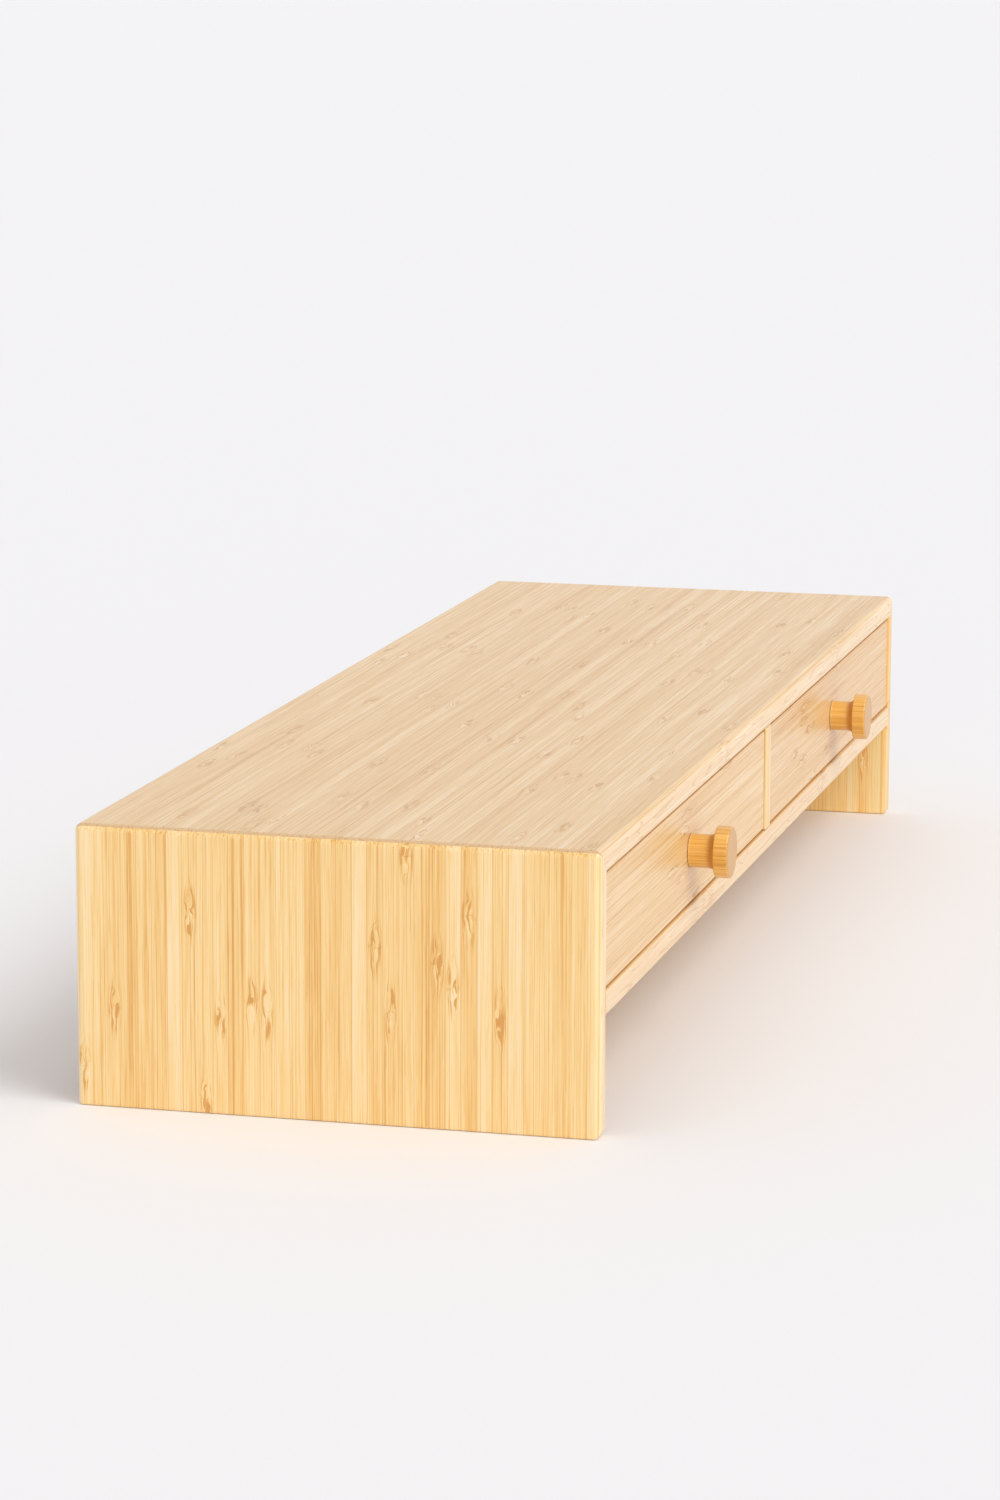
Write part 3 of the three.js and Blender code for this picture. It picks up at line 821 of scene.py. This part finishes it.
def node_box(node):
    """Lowest and highest corner of a CAD node, in millimetres."""
    low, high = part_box(node)
    return np.array(low) / MM, np.array(high) / MM


def edge_lines(low, high):
    """Places along one direction, close together within one arris of both ends."""
    near = np.linspace(0, ARRIS, EDGE_STEPS + 1)
    return np.concatenate([low + near, high - near[::-1]])


def loop_round(low, high):
    """Points round a rectangle, closer together near its corners."""
    first, second = (edge_lines(low[side], high[side]) for side in (0, 1))
    short, tall = np.ones(len(first) - 1), np.ones(len(second) - 1)
    return np.concatenate(
        [
            np.column_stack([first[:-1], low[1] * short]),
            np.column_stack([high[0] * tall, second[:-1]]),
            np.column_stack([first[:0:-1], high[1] * short]),
            np.column_stack([low[0] * tall, second[:0:-1]]),
        ]
    )


def rounded(points, low, high, radius):
    """Pulls points outside the rounded box onto it, towards the box one radius further in."""
    core = np.clip(points, low + radius, high - radius)
    away = points - core
    length = np.linalg.norm(away, axis=-1, keepdims=True)
    return np.where(length > radius, core + away * radius / np.maximum(length, radius), points)


def block_grid(low, high, along):
    """Rows round a block: out over the first end, along the block, and in over the other end."""
    sides = [axis for axis in range(3) if axis != along]
    loop = loop_round(low[sides], high[sides])
    centre = (low[sides] + high[sides]) / 2
    half = (high[sides] - low[sides]) / 2
    near = np.linspace(0, ARRIS, EDGE_STEPS + 1)
    places = np.concatenate(
        [
            np.full(EDGE_STEPS, low[along]),
            edge_lines(low[along], high[along]),
            np.full(EDGE_STEPS, high[along]),
        ]
    )
    insets = np.concatenate([near[:0:-1], np.zeros(2 * len(near)), near[1:]])
    grid = np.empty((len(places), len(loop), 3))
    grid[..., along] = places[:, None]
    grid[..., sides] = centre + (loop - centre) * ((half - insets[:, None]) / half)[:, None, :]
    return grid


case_low = np.minimum(node_box("left_side_panel")[0], node_box("shelf")[0])
case_high = np.maximum(node_box("right_side_panel")[1], node_box("top_board")[1])
inside_x = node_box("right_side_panel")[0][0]
top_underside = node_box("top_board")[0][2]


def rounded_to_case(points):
    """The arris runs round the top and down the corners, and an end's lower edge is only eased."""
    past_x, past_y, past_z = PAST_END * np.eye(3)
    points = rounded(points, case_low - past_z, case_high, ARRIS)
    points = rounded(points, case_low - past_x, case_high + past_x + past_z, ARRIS)
    return rounded(points, case_low - past_y, case_high + past_y + past_z, EASING)


def mitre_slope():
    """How far the mitre runs outwards for each millimetre up."""
    return (case_high[0] - inside_x) / (case_high[2] - top_underside)


def top_grid():
    """A block whose ends lean outwards to the mitres, then rounded below and by the case's skin."""
    low = np.array([-inside_x, case_low[1], top_underside])
    high = np.array([inside_x, case_high[1], case_high[2]])
    loop = loop_round(low[1:], high[1:])
    end = inside_x + (loop[:, 1] - top_underside) * mitre_slope() - TIGHT_JOINT / 2
    near = np.linspace(0, ARRIS, EDGE_STEPS + 1)[:, None]
    x = np.concatenate([-end + near, end - near[::-1]])
    y, z = (np.broadcast_to(loop[:, side], x.shape) for side in (0, 1))
    sideways, upwards = np.array([PAST_END, 0, 0]), np.array([0, 0, PAST_END])
    grid = rounded(np.dstack([x, y, z]), low - sideways, high + sideways + upwards, EASING)
    return rounded_to_case(grid)


def panel_grid(side):
    """An upright block whose upper end leans to the mitre, made on the right and mirrored."""
    low = np.array([inside_x, case_low[1], case_low[2]])
    high = case_high.copy()
    grid = block_grid(low, high, 2)[: -EDGE_STEPS]
    end = top_underside + (grid[-1, :, 0] - inside_x) / mitre_slope() - TIGHT_JOINT / 2
    near = np.linspace(0, ARRIS, EDGE_STEPS + 1)
    grid[-len(near) :, :, 2] = end - near[::-1, None]
    grid = rounded(grid, low, high + [PAST_END, 0, PAST_END], EASING)
    return rounded_to_case(grid) * [side, 1, 1]


def eased_block(node, along, joint):
    """The node's own block, grown into its joints and eased on every edge."""
    low, high = node_box(node)
    low, high = low - joint, high + joint
    return rounded(block_grid(low, high, along), low, high, EASING)


# %% Make the boards of the case
# The CAD's gap at a glued joint, which the shelf and the divider grow into
CAD_JOINT = 0.2
grown_x = np.array([CAD_JOINT - TIGHT_JOINT, 0, 0])
grown_z = np.array([0, 0, CAD_JOINT - TIGHT_JOINT])
CASE_BOARDS = [
    ("top_board", top_grid(), "top", "top_bamboo"),
    ("left_side_panel", panel_grid(-1), "near_panel", "panel_bamboo"),
    ("right_side_panel", panel_grid(1), "far_panel", "panel_bamboo"),
    ("shelf", eased_block("shelf", 0, grown_x), "shelf", "front_bamboo"),
    ("divider", eased_block("divider", 2, grown_z), "divider", "panel_bamboo"),
]
for node, grid, finish, slot in CASE_BOARDS:
    mesh = grid_mesh(node + "_fine", grid)
    finish_piece(node + "_fine", mesh, node, "case", finish)
    print(node, "with", len(mesh.polygons), "faces")

# %% [markdown]
# ## Drawer boards
# The drawer boards have real rabbets, grooves and pin holes, which show when a drawer is open. Their
# CAD shapes are right, so a copy is used. Its loose triangles are merged and the flat ones joined,
# and then the same shading softens the eased edges.

# %% Soften copies of the drawer boards
HANDS = ("left", "right")
# Points closer than this are one point, and faces closer in direction than this are one face
MERGE_DISTANCE = 0.001 * MM
FLAT_ANGLE = math.radians(0.5)


def softened_mesh(node):
    """The CAD node's own mesh, with its triangles joined into flat faces."""
    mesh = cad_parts[node].data.copy()
    work = bmesh.new()
    work.from_mesh(mesh)
    bmesh.ops.remove_doubles(work, verts=work.verts, dist=MERGE_DISTANCE)
    bmesh.ops.dissolve_limit(work, angle_limit=FLAT_ANGLE, verts=work.verts, edges=work.edges)
    work.to_mesh(mesh)
    work.free()
    return mesh


fronts = [(hand, "front", hand + "_front", "front_bamboo") for hand in HANDS]
inner_boards = [
    (hand, board, finish, "inner_bamboo")
    for hand in HANDS
    for board, finish in (("left_side", "wall"), ("right_side", "wall"), ("back", "cross"))
]
for hand, board, finish, slot in fronts + inner_boards:
    node = f"{hand}_drawer_{board}"
    finish_piece(node + "_fine", softened_mesh(node), node, hand + "_drawer", finish)
print("drawer boards softened:", len(fronts), "fronts and", len(inner_boards), "inner boards")

# %% [markdown]
# ## Knob finish
# The knobs are darker and more golden than the boards, perhaps because turned wood drinks more
# lacquer. In the photograph fine streaks run along the knob's axis and the flat face of its head is
# duller, so the grain is laid along the axis and the face shows end grain. The cove behind the head
# is painted darker: this is painted shade, where the head shades the cove.

# %% Knob finish
KNOB_TONES = ("c48232", "dea042", "ebb252", "f3c56e")
KNOB_FACE_COLOURS = ("d49b42", "c48a38")
KNOB_FACE_FADE = (0.6, 0.98)
KNOB_ROUGHNESS = 0.36
# With a share of 0 nothing is laid over the sides
NO_BROAD_SIDE = ("MIX", KNOB_TONES[0], 0.0)
# Painted shade in the cove behind the knob's head: its colour, its share and its reach in mm
COVE_SHADE_COLOUR = "b06a22"
COVE_SHADE_SHARE = 0.7
COVE_SHADE_REACH = 2.6


def paint_cove_shade(material, place):
    """Painted shade in the cove: a darker colour mixed in near a place along Y, given in millimetres.
    """
    tree = material.node_tree
    colour = next(node for node in tree.nodes if node.type == "BSDF_PRINCIPLED").inputs["Base Color"]
    coords = add(tree, "ShaderNodeTexCoord")
    axes = add(tree, "ShaderNodeSeparateXYZ", {0: coords.outputs["Object"]}).outputs
    away = add(tree, MATH, {0: axes["Y"], 1: place * MM}, operation="SUBTRACT")
    away = add(tree, MATH, {0: away}, operation="ABSOLUTE")
    cove_shade = fade(tree, away, COVE_SHADE_REACH * MM, 0.0)
    cove_shade = add(tree, MATH, {0: cove_shade, 1: COVE_SHADE_SHARE}, operation="MULTIPLY")
    darker = {"Factor": cove_shade, "A": colour.links[0].from_socket, "B": linear(COVE_SHADE_COLOUR)}
    darker = add(tree, MIX, darker, data_type="RGBA")
    tree.links.new(next(socket for socket in darker.outputs if socket.enabled), colour)


FINISHES["knob"] = bamboo(
    "bamboo_knob_turned_painted_cove_shade",
    "y",
    "x",
    17.0,
    KNOB_TONES,
    KNOB_FACE_COLOURS,
    roughness=KNOB_ROUGHNESS,
    end_fade=KNOB_FACE_FADE,
    broad_side=NO_BROAD_SIDE,
    measured=CLEAR_WOOD,
)
print("knob finish:", FINISHES["knob"].name)

# %% [markdown]
# ## Turned knobs
# A knob is turned from a block of the same bamboo: a stem with a slight flare where it meets the
# drawer, a cove, and a flat head with softened edges. Its half outline is carried round the axis.
# The blind hole for the screw is part of the outline.

# %% Turn the knobs
# In millimetres. The stem, its base and the hole are given by their diameters.
KNOB_STEM = 13.2
KNOB_BASE = 13.8
KNOB_FLARE = 1.8
KNOB_HEAD_THICK = 6.0
KNOB_COVE = 3.0
KNOB_RIM = 0.9
KNOB_HEEL = 0.5
KNOB_HOLE = 4.2
KNOB_HOLE_DEPTH = 11.0
TURNED_SIDES = 96
ARC_STEPS = 12


def arc(centre, radius, start, stop):
    """Points on an arc, with the angles in degrees."""
    angle = np.radians(np.linspace(start, stop, ARC_STEPS + 1))
    return centre + radius * np.column_stack([np.cos(angle), np.sin(angle)])


def knob_outline(projection, head):
    """Radius against height off the drawer: hole, foot, flare, cove, heel, rim."""
    stem = KNOB_STEM / 2
    back = projection - KNOB_HEAD_THICK
    share = np.linspace(0, 1, ARC_STEPS)[:, None]
    foot, bend, top = np.array([[KNOB_BASE / 2, 0], [stem, 0], [stem, KNOB_FLARE]])
    flare = (1 - share) ** 2 * foot + 2 * share * (1 - share) * bend + share**2 * top
    return np.concatenate(
        [
            [[KNOB_HOLE / 2, KNOB_HOLE_DEPTH], [KNOB_HOLE / 2, 0]],
            flare,
            arc([stem + KNOB_COVE, back - KNOB_COVE], KNOB_COVE, 180, 90),
            arc([head / 2 - KNOB_HEEL, back + KNOB_HEEL], KNOB_HEEL, -90, 0),
            arc([head / 2 - KNOB_RIM, projection - KNOB_RIM], KNOB_RIM, 0, 90),
        ]
    )


def turned(outline, centre, foot, direction):
    """Carries a half outline round an axis along Y. Direction -1 points it out of the drawer."""
    angle = np.linspace(0, 2 * math.pi, TURNED_SIDES, endpoint=False)
    radius, height = outline[:, 0, None], outline[:, 1, None]
    x = centre[0] + radius * np.cos(angle)
    z = centre[2] + radius * np.sin(angle)
    return np.dstack([x, np.broadcast_to(foot + direction * height, x.shape), z])


for hand in HANDS:
    node = hand + "_drawer_knob"
    low, high = node_box(node)
    outline = knob_outline(high[1] - low[1], high[2] - low[2])
    grid = turned(outline, (low + high) / 2, high[1], -1)
    mesh = grid_mesh(node + "_fine", grid)
    finish_piece(node + "_fine", mesh, node, hand + "_drawer", "knob")
# Both coves lie at the same place along Y, so one painted cove shade serves both knobs
paint_cove_shade(FINISHES["knob"], low[1] + KNOB_HEAD_THICK + KNOB_COVE / 2)
print("knob outline with", len(outline), "points")

# %% [markdown]
# ## Knob screws
# Each knob is held by one screw from inside the drawer. Only the pan head shows there, with its
# cross recess. The recess is a smooth dip in the head, as deep as a formula of the place says, and
# the thread is a ridge that climbs once round for each pitch. The photograph shows no screw, so
# all its sizes are assumptions, chosen to fit inside the CAD screw.

# %% Make the screws
# The smallest ring, as a share of the head's radius, and of the shank's at its point
FIRST_RING_SHARE = 0.04
# Half the width of the thread's ridge, as a share of its pitch
RIDGE_HALF_SHARE = 0.25
# In millimetres. The shank is given by its outer diameter.
SCREW_SHANK = 3.8
SCREW_HEAD_RISE = 2.4
SCREW_HEAD_RIM = 0.8
SCREW_POINT = 3.0
THREAD_PITCH = 1.4
THREAD_DEPTH = 0.45
RECESS_ARM = 2.3
RECESS_HALF_WIDTH = 0.45
RECESS_DEPTH = 1.3
RECESS_SLOPE = 0.5
HEAD_ROWS = 34
THREAD_ROWS = 90


def screw_grid(low, high):
    """The head's dome less its recess, the rim, the thread and the point, as rows from the head."""
    centre = (low + high) / 2
    head = (high[0] - low[0]) / 2
    angle = np.linspace(0, 2 * math.pi, TURNED_SIDES, endpoint=False)
    top = high[1]
    under = top - SCREW_HEAD_RISE

    share_out = np.linspace(FIRST_RING_SHARE, 1, HEAD_ROWS)[:, None]
    rise = (SCREW_HEAD_RISE - SCREW_HEAD_RIM) * np.sqrt(1 - share_out**2)
    dome = under + SCREW_HEAD_RIM + rise
    x, z = share_out * head * np.cos(angle), share_out * head * np.sin(angle)
    first = np.maximum(np.abs(x) - RECESS_ARM, np.abs(z) - RECESS_HALF_WIDTH)
    second = np.maximum(np.abs(z) - RECESS_ARM, np.abs(x) - RECESS_HALF_WIDTH)
    share = np.clip(-np.minimum(first, second) / RECESS_SLOPE + 0.5, 0, 1)
    depth = RECESS_DEPTH * share * share * (3 - 2 * share)
    head_rows = np.dstack([x, dome - depth, z])

    height = np.linspace(under, low[1], THREAD_ROWS)[:, None]
    taper = np.clip((height - low[1]) / SCREW_POINT, FIRST_RING_SHARE, 1)
    turn = np.mod(height / THREAD_PITCH - angle / (2 * math.pi), 1)
    ridge = np.clip(1 - np.abs(turn - 0.5) / RIDGE_HALF_SHARE, 0, 1)
    radius = (SCREW_SHANK / 2 - THREAD_DEPTH * (1 - ridge)) * taper
    shank_height = np.broadcast_to(height, radius.shape)
    shank = np.dstack([radius * np.cos(angle), shank_height, radius * np.sin(angle)])
    rim = head_rows[-1:] * [1, 0, 1] + [0, under, 0]
    grid = np.concatenate([head_rows, rim, shank])
    return grid + [centre[0], 0, centre[2]]


for hand in HANDS:
    node = hand + "_drawer_knob_screw"
    grid = screw_grid(*node_box(node))
    mesh = grid_mesh(node + "_fine", grid)
    finish_piece(node + "_fine", mesh, node, hand + "_drawer", "zinc")
print("screws with", grid.shape[0], "rows")

# %% [markdown]
# ## The CAD pieces that stay
# The back panel, the drawer bottoms, the dowels, pins and splines are plain in real life too. Their
# CAD shapes stay, and only get the bamboo that runs the right way through each of them.

# %% Dress the CAD pieces
KEPT = {
    "back_panel": "cross",
    "drawer_bottom": "bottom",
    "drawer_pin": "rod_along",
    "shelf_dowel": "rod_along",
    "divider_top_dowel": "rod_upright",
    "divider_bottom_dowel": "rod_upright",
    "mitre_spline": "bottom",
}
dressed = 0
for name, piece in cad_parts.items():
    for word, finish in KEPT.items():
        if word in name:
            for slot in piece.material_slots:
                slot.material = FINISHES[finish]
            dressed += 1
print("CAD pieces dressed:", dressed)
